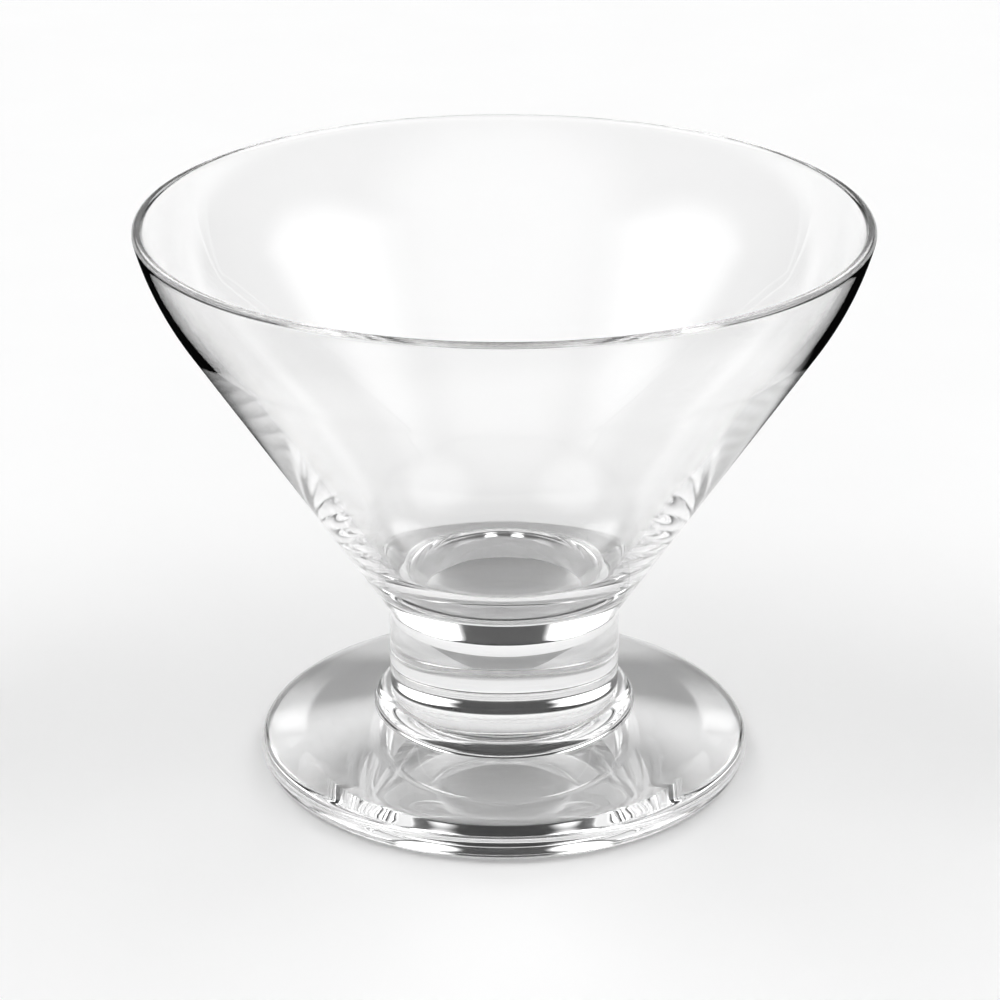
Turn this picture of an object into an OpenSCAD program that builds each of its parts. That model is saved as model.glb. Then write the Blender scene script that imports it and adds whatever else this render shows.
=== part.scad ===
// Footed parfait glass: a flared clear bowl, a short thick stem and a round foot.
// The three glass pieces meet in flat weld faces across the stem.
// Millimetres, +Z up, origin at the centre of the ring that the foot stands on.

/* [Bowl] */
// Outside diameter of the rim
rim_d = 110; // [95:1:130]
// Height of the whole glass, from the table to the rim
glass_h = 88; // [80:1:110]
// Lean of the wall at the rim, degrees from upright
rim_lean = 14; // [8:1:18]
// Radius of the curve that turns the straight wall up to the rim
shoulder_r = 50; // [35:1:60]
// Thickness of the wall at the rim, which is rounded over
rim_wall = 1.6; // [1.2:0.1:2.4]
// Angle between the inside and the outside of the wall at the rim, so that it thickens downwards
wall_taper = 1.2; // [0:0.1:2]
// Thickness of the wall at the level of the inside bottom
base_wall = 3.6; // [2.4:0.1:4.4]
// Thickness of solid glass between the upper weld and the inside bottom
floor_t = 6.5; // [4:0.5:9]
// Radius of the curve between the inside wall and the level inside bottom
bottom_r = 19.5; // [14:0.5:22]
// Radius of the curve that blends the wall into the stem
neck_r = 4; // [2:0.5:8]

/* [Stem] */
// Diameter of the stem
stem_d = 36; // [28:1:42]
// Length of the stem between its two welds
stem_h = 13.4; // [8:0.2:20]

/* [Foot] */
// Diameter of the foot
foot_d = 77; // [66:1:90]
// Radius of the rounded edge of the foot
foot_edge_r = 2; // [1.4:0.1:2.8]
// Slope of the top of the foot, degrees from level
foot_slope = 14; // [8:1:18]
// Radius of the rounded collar that runs round the base of the stem
collar_r = 2.6; // [1.6:0.1:3.6]
// Width of the flat ring that the foot stands on
base_ring_w = 6; // [3:0.5:9]
// Depth of the hollow under the foot at its centre
base_hollow = 1.5; // [0.5:0.1:3]

/* [Hidden] */
$fn = 180;
glass_colour = [0.90, 0.94, 0.94, 0.45];

// Unit vector at an angle
function dir(a) = [cos(a), sin(a)];
// Angle, seen from centre c, at which a line from p touches the right of a circle of radius r
function touch(p, c, r) = atan2(p.y - c.y, p.x - c.x) + acos(r / norm(p - c));

stem_r = stem_d / 2;

// Foot: rounded edge, sloping top, and the collar that stands on it and ends at the lower weld
edge_c = [foot_d / 2 - foot_edge_r, foot_edge_r];
slope_normal = dir(90 - foot_slope);
edge_top = edge_c + foot_edge_r * slope_normal;
collar_x = stem_r + collar_r;
collar_c = [stem_r, edge_top.y + (edge_top.x - collar_x) * tan(foot_slope)];
lower_weld_z = collar_c.y + collar_r;
ring_in_r = edge_c.x - base_ring_w;
hollow_r = (ring_in_r * ring_in_r + base_hollow * base_hollow) / (2 * base_hollow);

// Outside of the bowl: the straight wall touches the neck blend below and the shoulder above
upper_weld_z = lower_weld_z + stem_h;
rim_c = [rim_d / 2 - rim_wall / 2, glass_h - rim_wall / 2];
rim_out = rim_c + rim_wall / 2 * dir(-rim_lean);
shoulder_c = rim_out - shoulder_r * dir(-rim_lean);
neck_c = [stem_r + neck_r, upper_weld_z];
wall_angle = touch(neck_c, shoulder_c, shoulder_r + neck_r);
wall_slope = 90 + wall_angle;
wall_low = neck_c - neck_r * dir(wall_angle);
wall_high = shoulder_c + shoulder_r * dir(wall_angle);
shoulder_tip = shoulder_c + shoulder_r / cos((wall_angle + rim_lean) / 2) * dir((wall_angle - rim_lean) / 2);

// Inside of the bowl: a shoulder that leaves the rim at the taper, a straight wall, a curve and a level bottom
floor_z = upper_weld_z + floor_t;
floor_edge_x = wall_low.x + ((floor_z - wall_low.y) * cos(wall_slope) - base_wall) / sin(wall_slope);
rim_in = rim_c - rim_wall / 2 * dir(-rim_lean - wall_taper);
inner_r = shoulder_r - rim_wall;
inner_c = rim_in - inner_r * dir(-rim_lean - wall_taper);
inner_angle = touch([floor_edge_x, floor_z], inner_c, inner_r);
inner_high = inner_c + inner_r * dir(inner_angle);
bottom_c = [floor_edge_x - bottom_r * tan((90 + inner_angle) / 2), floor_z + bottom_r];
inner_low = bottom_c + bottom_r * dir(inner_angle);

module disc(c, r) {
    translate(c) circle(r);
}

// The curved part of the wall, from the straight wall to the rim
module shoulder_profile() {
    intersection() {
        difference() {
            disc(shoulder_c, shoulder_r);
            disc(inner_c, inner_r);
        }
        polygon([inner_high, wall_high, shoulder_tip, rim_out, rim_c, rim_in]);
    }
}

module bowl_profile() {
    difference() {
        polygon([
            [0, upper_weld_z], [stem_r, upper_weld_z], neck_c, wall_low, wall_high,
            inner_high, inner_low, bottom_c, [bottom_c.x, floor_z], [0, floor_z]
        ]);
        disc(neck_c, neck_r);
        disc(bottom_c, bottom_r);
    }
    shoulder_profile();
    disc(rim_c, rim_wall / 2);
}

module foot_profile() {
    difference() {
        union() {
            polygon([
                [0, 0], [edge_c.x, 0], edge_c, edge_top,
                [collar_x, collar_c.y], collar_c, [stem_r, lower_weld_z], [0, lower_weld_z]
            ]);
            disc(edge_c, foot_edge_r);
            disc(collar_c, collar_r);
        }
        disc([0, base_hollow - hollow_r], hollow_r);
    }
}

module bowl() {
    color(glass_colour) rotate_extrude() bowl_profile();
}

module stem() {
    color(glass_colour) translate([0, 0, lower_weld_z]) cylinder(d = stem_d, h = stem_h);
}

module foot() {
    color(glass_colour) rotate_extrude() foot_profile();
}

bowl();
stem();
foot();
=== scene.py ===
import math

import bpy
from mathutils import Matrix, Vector


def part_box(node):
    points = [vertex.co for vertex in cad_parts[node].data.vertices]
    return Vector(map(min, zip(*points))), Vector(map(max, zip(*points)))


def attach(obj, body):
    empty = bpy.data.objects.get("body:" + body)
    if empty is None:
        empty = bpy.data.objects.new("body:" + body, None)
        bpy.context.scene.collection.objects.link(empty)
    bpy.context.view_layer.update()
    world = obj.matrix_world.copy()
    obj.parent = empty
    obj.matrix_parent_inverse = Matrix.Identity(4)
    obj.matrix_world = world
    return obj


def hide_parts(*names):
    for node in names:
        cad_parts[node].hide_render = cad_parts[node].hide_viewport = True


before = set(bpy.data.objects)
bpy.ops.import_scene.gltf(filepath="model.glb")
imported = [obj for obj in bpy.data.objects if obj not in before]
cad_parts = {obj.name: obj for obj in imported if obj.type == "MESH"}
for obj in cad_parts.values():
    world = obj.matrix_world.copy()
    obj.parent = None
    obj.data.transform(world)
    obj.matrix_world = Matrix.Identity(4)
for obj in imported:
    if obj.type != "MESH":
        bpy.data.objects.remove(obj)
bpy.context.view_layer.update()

# Clear parfait glass: bowl, stem and foot are half sections drawn in the XZ plane and spun round Z
mm = 0.001
spinning = {
    "steps": 256,
    "mergeGap": 0.002,  # mm, closes the seam and the poles
    "crease": 30,  # degrees from which an edge stays sharp
}


# Small helpers

def hexColour(text):
    parts = [int(text[i:i + 2], 16) / 255 for i in (1, 3, 5)]
    linear = [c / 12.92 if c <= 0.04045 else ((c + 0.055) / 1.055) ** 2.4 for c in parts]
    return (*linear, 1)


def addNode(tree, kind, settings={}, links={}):
    # a setting goes to the input of that name or number, or else to the node itself
    node = tree.nodes.new(kind)
    for name, value in settings.items():
        if isinstance(name, int) or name in node.inputs:
            node.inputs[name].default_value = value
        else:
            setattr(node, name, value)
    for name, source in links.items():
        tree.links.new(source, node.inputs[name])
    return node


def newMaterial(name):
    material = bpy.data.materials.new(name)
    material.use_nodes = True
    material.node_tree.nodes.clear()
    return material


def along(degrees):
    return Vector((math.cos(math.radians(degrees)), math.sin(math.radians(degrees))))


def touchAngle(point, centre, radius):
    # angle, seen from the centre, at which a line from the point touches the right of the circle
    gap = point - centre
    return math.degrees(math.atan2(gap.y, gap.x) + math.acos(radius / gap.length))


# Drawing a half section: x is the radius and y the height, both in mm

def startSection(name, start):
    bpy.ops.object.select_all(action="DESELECT")
    bpy.ops.mesh.primitive_plane_add(size=mm, location=(start.x * mm, 0, start.y * mm))
    piece = bpy.context.object
    piece.name = piece.data.name = name
    bpy.ops.object.transform_apply(location=True, rotation=False, scale=False)
    bpy.ops.object.mode_set(mode="EDIT")
    bpy.ops.mesh.select_all(action="SELECT")
    bpy.ops.mesh.merge(type="CENTER")  # the first point of the section
    return piece


def drawLine(start, end, parts):
    step = (end - start) * mm / parts
    for _ in range(parts):
        bpy.ops.mesh.extrude_region_move(TRANSFORM_OT_translate={"value": (step.x, 0, step.y)})


def drawArc(centre, fromAngle, toAngle, parts):
    bpy.ops.mesh.spin(
        steps=parts, angle=math.radians(toAngle - fromAngle),
        center=(centre.x * mm, 0, centre.y * mm), axis=(0, 1, 0),
    )


def spinSection(piece):
    bpy.ops.mesh.select_all(action="SELECT")
    bpy.ops.mesh.spin(
        steps=spinning["steps"], angle=math.tau,
        center=(0, 0, 0), axis=(0, 0, 1), use_auto_merge=True,
    )
    bpy.ops.mesh.select_all(action="SELECT")
    bpy.ops.mesh.remove_doubles(threshold=spinning["mergeGap"] * mm)
    bpy.ops.mesh.normals_make_consistent(inside=False)
    bpy.ops.object.mode_set(mode="OBJECT")
    bpy.ops.object.shade_smooth_by_angle(angle=math.radians(spinning["crease"]))
    print("spun", piece.name, len(piece.data.polygons), "faces")


# Pressed soda-lime glass, fire polished: clear, with a skin that is faintly wavy from the mould
glassLook = {
    "tint": "#fefefe",
    "ior": 1.52,
    "waveWidth": 18,  # mm from one swell of the skin to the next
    "waveHeight": 0.04,  # mm
    "waveBend": 0.4,  # how far the swells wander
    "hazeWidth": 3,  # mm between the duller spots of the polish
    "hazeStart": 0.45,  # noise level at which a spot begins
    "hazeFull": 0.75,  # noise level at which it is dullest
    "haze": 0.012,  # roughness of the dullest spot
}


def makeGlass(look):
    glass = newMaterial("pressedSodaLimeGlass")
    tree = glass.node_tree
    place = addNode(tree, "ShaderNodeTexCoord").outputs["Object"]
    waves = addNode(
        tree, "ShaderNodeTexNoise",
        {"Scale": 1 / (look["waveWidth"] * mm), "Detail": 0, "Distortion": look["waveBend"]},
        {"Vector": place},
    )
    skin = addNode(
        tree, "ShaderNodeBump", {"Strength": 1, "Distance": look["waveHeight"] * mm},
        {"Height": waves.outputs["Fac"]},
    )
    spots = addNode(tree, "ShaderNodeTexNoise", {"Scale": 1 / (look["hazeWidth"] * mm)}, {"Vector": place})
    polish = addNode(
        tree, "ShaderNodeMapRange",
        {"From Min": look["hazeStart"], "From Max": look["hazeFull"], "To Max": look["haze"]},
        {"Value": spots.outputs["Fac"]},
    )
    shader = addNode(
        tree, "ShaderNodeBsdfPrincipled",
        {"Base Color": hexColour(look["tint"]), "IOR": look["ior"], "Transmission Weight": 1},
        {"Roughness": polish.outputs["Result"], "Normal": skin.outputs["Normal"]},
    )
    addNode(tree, "ShaderNodeOutputMaterial", {}, {"Surface": shader.outputs["BSDF"]})
    return glass


# Where two pieces are melted together light passes straight on, as inside the glass
def makeWeld():
    weld = newMaterial("fusedWeld")
    tree = weld.node_tree
    clear = addNode(tree, "ShaderNodeBsdfTransparent")
    addNode(tree, "ShaderNodeOutputMaterial", {}, {"Surface": clear.outputs["BSDF"]})
    return weld


glass, weld = makeGlass(glassLook), makeWeld()


def dress(piece, node, weldHeights):
    slack, level = 0.001 * mm, 0.99  # a level face this close to a weld height belongs to the weld
    piece.data.materials.append(glass)
    piece.data.materials.append(weld)
    for face in piece.data.polygons:
        for height in weldHeights:
            if abs(face.center.z - height * mm) < slack and abs(face.normal.z) > level:
                face.material_index = 1
    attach(piece, "root")
    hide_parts(node)


# Heights of the two welds and the rim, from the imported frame
weldLow, weldHigh = (corner.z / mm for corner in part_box("stem"))
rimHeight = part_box("bowl")[1].z / mm
print("welds at", weldLow, weldHigh, "rim at", rimHeight)


# Stem: a plain thick rod between the welds
stemShape = {"diameter": 36}
stemRadius = stemShape["diameter"] / 2


def makeStem():
    low, high = Vector((0, weldLow)), Vector((0, weldHigh))
    out = Vector((stemRadius, 0))
    stem = startSection("glassStem", low)
    drawLine(low, low + out, parts=8)
    drawLine(low + out, high + out, parts=12)
    drawLine(high + out, high, parts=8)
    spinSection(stem)
    dress(stem, "stem", (weldLow, weldHigh))


# Bowl: straight wall from the neck, turned up at the shoulder, rounded rim, level inside bottom
bowlShape = {
    "rimDiameter": 110,
    "rimLean": 14,  # degrees from upright
    "rimWall": 1.6,
    "wallTaper": 1.2,  # degrees between inside and outside at the rim
    "shoulderRadius": 50,
    "baseWall": 3.6,  # at the level of the inside bottom
    "floorThickness": 6.5,  # above the upper weld
    "bottomRadius": 19.5,  # curve from the inside wall to the level bottom
    "neckRadius": 4,
}


def makeBowl(shape):
    # outside: the straight wall touches the neck blend below and the shoulder above
    lean, taper, halfRim = shape["rimLean"], shape["wallTaper"], shape["rimWall"] / 2
    outer, neck = shape["shoulderRadius"], shape["neckRadius"]
    rimCentre = Vector((shape["rimDiameter"] / 2 - halfRim, rimHeight - halfRim))
    shoulderCentre = rimCentre - (outer - halfRim) * along(-lean)
    neckCentre = Vector((stemRadius + neck, weldHigh))
    wallAngle = touchAngle(neckCentre, shoulderCentre, outer + neck)
    wallLow = neckCentre - neck * along(wallAngle)
    wallHigh = shoulderCentre + outer * along(wallAngle)
    wallUp = along(wallAngle + 90)

    # inside: a shoulder that leaves the rim at the taper, a straight wall, a curve and the bottom
    inner, bottom = outer - shape["rimWall"], shape["bottomRadius"]
    floorHeight = weldHigh + shape["floorThickness"]
    floorEdge = wallLow.x + ((floorHeight - wallLow.y) * wallUp.x - shape["baseWall"]) / wallUp.y
    innerCentre = rimCentre - (inner + halfRim) * along(-lean - taper)
    innerAngle = touchAngle(Vector((floorEdge, floorHeight)), innerCentre, inner)
    innerHigh = innerCentre + inner * along(innerAngle)
    levelEdge = floorEdge - bottom * math.tan(math.radians(90 + innerAngle) / 2)
    bottomCentre = Vector((levelEdge, floorHeight + bottom))
    innerLow = bottomCentre + bottom * along(innerAngle)

    middle = Vector((0, weldHigh))
    bowl = startSection("glassBowl", middle)
    drawLine(middle, middle + Vector((stemRadius, 0)), parts=8)
    drawArc(neckCentre, 180, 180 + wallAngle, parts=16)
    drawLine(wallLow, wallHigh, parts=44)
    drawArc(shoulderCentre, wallAngle, -lean, parts=24)
    drawArc(rimCentre, -lean, 180 - lean - taper, parts=28)
    drawArc(innerCentre, -lean - taper, innerAngle, parts=24)
    drawLine(innerHigh, innerLow, parts=36)
    drawArc(bottomCentre, innerAngle, -90, parts=28)
    drawLine(Vector((levelEdge, floorHeight)), Vector((0, floorHeight)), parts=8)
    spinSection(bowl)
    dress(bowl, "bowl", (weldHigh,))


# Foot: rounded edge, sloping top, rounded collar that carries the stem, shallow hollow underneath
footShape = {
    "diameter": 77,
    "edgeRadius": 2,
    "topSlope": 14,  # degrees from level
    "collarRadius": 2.6,
    "ringWidth": 6,  # flat ring that it stands on
    "hollowDepth": 1.5,
}


def makeFoot(shape):
    edge, collar, slope = shape["edgeRadius"], shape["collarRadius"], shape["topSlope"]
    edgeCentre = Vector((shape["diameter"] / 2 - edge, edge))
    edgeTop = edgeCentre + edge * along(90 - slope)
    collarCentre = Vector((stemRadius, weldLow - collar))
    crease = collarCentre + collar * along(0)
    ringInside = edgeCentre.x - shape["ringWidth"]
    depth = shape["hollowDepth"]
    hollowRadius = (ringInside ** 2 + depth ** 2) / (2 * depth)
    hollowCentre = Vector((0, depth - hollowRadius))
    hollowReach = math.degrees(math.asin(ringInside / hollowRadius))

    foot = startSection("glassFoot", Vector((0, depth)))
    drawArc(hollowCentre, 90, 90 - hollowReach, parts=24)
    drawLine(Vector((ringInside, 0)), Vector((edgeCentre.x, 0)), parts=6)
    drawArc(edgeCentre, -90, 90 - slope, parts=28)
    drawLine(edgeTop, crease, parts=28)
    drawArc(collarCentre, 0, 90, parts=24)
    drawLine(Vector((stemRadius, weldLow)), Vector((0, weldLow)), parts=8)
    spinSection(foot)
    dress(foot, "foot", (weldLow,))


makeBowl(bowlShape)
makeStem()
makeFoot(footShape)


# Board: matte and nearly white, with a faint unevenness
boardShape = {
    "size": 4000,
    "drop": 0.2,  # keeps the board off the ring that the foot stands on
    "light": "#fdfdfd",
    "dark": "#fafafa",
    "grainWidth": 30,
}


def makeBoard(shape):
    bpy.ops.object.select_all(action="DESELECT")
    bpy.ops.mesh.primitive_plane_add(size=shape["size"] * mm, location=(0, 0, -shape["drop"] * mm))
    floor = bpy.context.object
    floor.name = "paleBoard"
    board = newMaterial("matteBoard")
    tree = board.node_tree
    place = addNode(tree, "ShaderNodeTexCoord").outputs["Object"]
    grain = addNode(tree, "ShaderNodeTexNoise", {"Scale": 1 / (shape["grainWidth"] * mm)}, {"Vector": place})
    tone = addNode(
        tree, "ShaderNodeMix",
        {"data_type": "RGBA", "A": hexColour(shape["dark"]), "B": hexColour(shape["light"])},
        {"Factor": grain.outputs["Fac"]},
    )
    paper = addNode(tree, "ShaderNodeBsdfDiffuse", {}, {"Color": tone.outputs["Result"]})
    addNode(tree, "ShaderNodeOutputMaterial", {}, {"Surface": paper.outputs["BSDF"]})
    floor.data.materials.append(board)
    return floor


# Flag: a black ring round the glass that only its reflections see, a painted dark reflection that draws the
# dark edges.
# It fades in from its inner edge and stands a little to the right, so the left edge is darker.
flagShape = {
    "inside": 90,  # radius
    "full": 125,  # radius from which it is quite black
    "outside": 300,  # radius
    "sides": 96,
    "right": 15,
    "height": 0.3,
    "colour": "#0c0c0c",
}


def makeFlag(shape):
    bpy.ops.object.select_all(action="DESELECT")
    bpy.ops.mesh.primitive_circle_add(
        vertices=shape["sides"], radius=shape["inside"] * mm,
        location=(shape["right"] * mm, 0, shape["height"] * mm),
    )
    flag = bpy.context.object
    flag.name = "blackFlag"
    bpy.ops.object.mode_set(mode="EDIT")
    bpy.ops.mesh.select_all(action="SELECT")
    spread = shape["outside"] / shape["inside"]
    bpy.ops.mesh.extrude_region_move()
    bpy.ops.transform.resize(value=(spread, spread, 1))
    bpy.ops.object.mode_set(mode="OBJECT")
    flag.data.materials.append(makeDarkReflection(shape))
    for ray in ("camera", "diffuse", "transmission", "shadow", "volume_scatter"):
        setattr(flag, "visible_" + ray, False)
    return flag


def makeDarkReflection(shape):
    darkReflection = newMaterial("paintedDarkReflection")
    tree = darkReflection.node_tree
    place = addNode(tree, "ShaderNodeTexCoord").outputs["Object"]
    radius = addNode(tree, "ShaderNodeVectorMath", {"operation": "LENGTH"}, {0: place})
    fade = addNode(
        tree, "ShaderNodeMapRange",
        {
            "interpolation_type": "SMOOTHSTEP",
            "From Min": shape["inside"] * mm,
            "From Max": shape["full"] * mm,
        },
        {"Value": radius.outputs["Value"]},
    )
    bare = addNode(tree, "ShaderNodeBsdfTransparent")
    # painted dark reflection: near-black that only the glass's reflections see
    reflectedBlack = addNode(tree, "ShaderNodeBsdfDiffuse", {"Color": hexColour(shape["colour"])})
    edge = addNode(
        tree, "ShaderNodeMixShader", {},
        {0: fade.outputs["Result"], 1: bare.outputs["BSDF"], 2: reflectedBlack.outputs["BSDF"]},
    )
    addNode(tree, "ShaderNodeOutputMaterial", {}, {"Surface": edge.outputs["Shader"]})
    return darkReflection


floor = makeBoard(boardShape)
flag = makeFlag(flagShape)
print("stage ready")


# Studio light: dim room with a white sweep at the horizon, a broad soft lamp on each side,
# a weak one in front, and two small ones behind that whiten the sides of the foot
studio = {
    "bands": [(-90, 1.0), (4, 1.0), (8, 0.02), (90, 0.02)],  # degrees above the horizon, radiance
    # degrees clockwise from straight behind, degrees up, half width of the core and of the glow, radiance
    "lamps": [
        (90, 50, 6, 30, 2.88),
        (270, 50, 6, 30, 2.88),
        (180, 48, 10, 50, 1.0),
        (28, 28, 2, 15, 4.6),
        (332, 28, 2, 15, 4.6),
    ],
}


def makeStudio(look):
    world = bpy.data.worlds.new("studio")
    bpy.context.scene.world = world
    world.use_nodes = True
    tree = world.node_tree
    tree.nodes.clear()
    place = addNode(tree, "ShaderNodeTexCoord").outputs["Generated"]
    axes = addNode(tree, "ShaderNodeSeparateXYZ", {}, {"Vector": place})
    # the ramp runs from 0 straight down to 1 straight up
    height = addNode(tree, "ShaderNodeMapRange", {"From Min": -1}, {"Value": axes.outputs["Z"]})
    bands = addNode(tree, "ShaderNodeValToRGB", {}, {"Fac": height.outputs["Result"]})
    stops = bands.color_ramp.elements
    stops.remove(stops[1])
    for i, (degrees, radiance) in enumerate(look["bands"]):
        position = (math.sin(math.radians(degrees)) + 1) / 2
        stop = stops[0] if i == 0 else stops.new(position)
        stop.position = position
        stop.color = (radiance, radiance, radiance, 1)
    room = bands.outputs["Color"]
    for around, up, core, glow, radiance in look["lamps"]:
        level, rise = along(90 - around), along(up)
        heading = (level.x * rise.x, level.y * rise.x, rise.y)
        facing = addNode(tree, "ShaderNodeVectorMath", {"operation": "DOT_PRODUCT", 1: heading}, {0: place})
        lamp = addNode(
            tree, "ShaderNodeMapRange",
            {
                "interpolation_type": "SMOOTHSTEP",
                "From Min": along(glow).x,
                "From Max": along(core).x,
                "To Max": radiance,
            },
            {"Value": facing.outputs["Value"]},
        )
        both = addNode(tree, "ShaderNodeMath", {"operation": "ADD"}, {0: room, 1: lamp.outputs["Result"]})
        room = both.outputs["Value"]
    # straight into the camera the background is white all the way up
    sight = addNode(tree, "ShaderNodeLightPath").outputs["Is Camera Ray"]
    shown = addNode(tree, "ShaderNodeMath", {"operation": "MAXIMUM"}, {0: room, 1: sight})
    light = addNode(tree, "ShaderNodeBackground", {}, {"Color": shown.outputs["Value"]})
    addNode(tree, "ShaderNodeOutputWorld", {}, {"Surface": light.outputs["Background"]})
    print("studio ready")


makeStudio(studio)


# Camera: the photograph's view, 23 degrees down from a little under half a metre
view = {
    "place": (0, -424.7, 224.66),  # mm
    "pitch": 23.26,  # degrees below level
    "lens": 107.84,  # mm
    "shift": -0.0042,  # share of the frame's width
    "nearClip": 10,  # mm
}


def makeCamera(look):
    camera = bpy.data.objects.new("photoCamera", bpy.data.cameras.new("photoCamera"))
    bpy.context.scene.collection.objects.link(camera)
    camera.location = [c * mm for c in look["place"]]
    camera.rotation_euler = (math.radians(90 - look["pitch"]), 0, 0)
    camera.data.lens = look["lens"]
    camera.data.shift_x = look["shift"]
    camera.data.clip_start = look["nearClip"] * mm
    bpy.context.scene.camera = camera
    print("camera ready")


makeCamera(view)

# Light that enters the side of the bowl runs round inside the wall for about 40 reflections
lightPaths = {
    "max_bounces": 48,
    "transmission_bounces": 48,
    "glossy_bounces": 48,
    "transparent_max_bounces": 64,
}
scene = bpy.context.scene
scene.view_settings.view_transform = "Standard"
for limit, count in lightPaths.items():
    setattr(scene.cycles, limit, count)
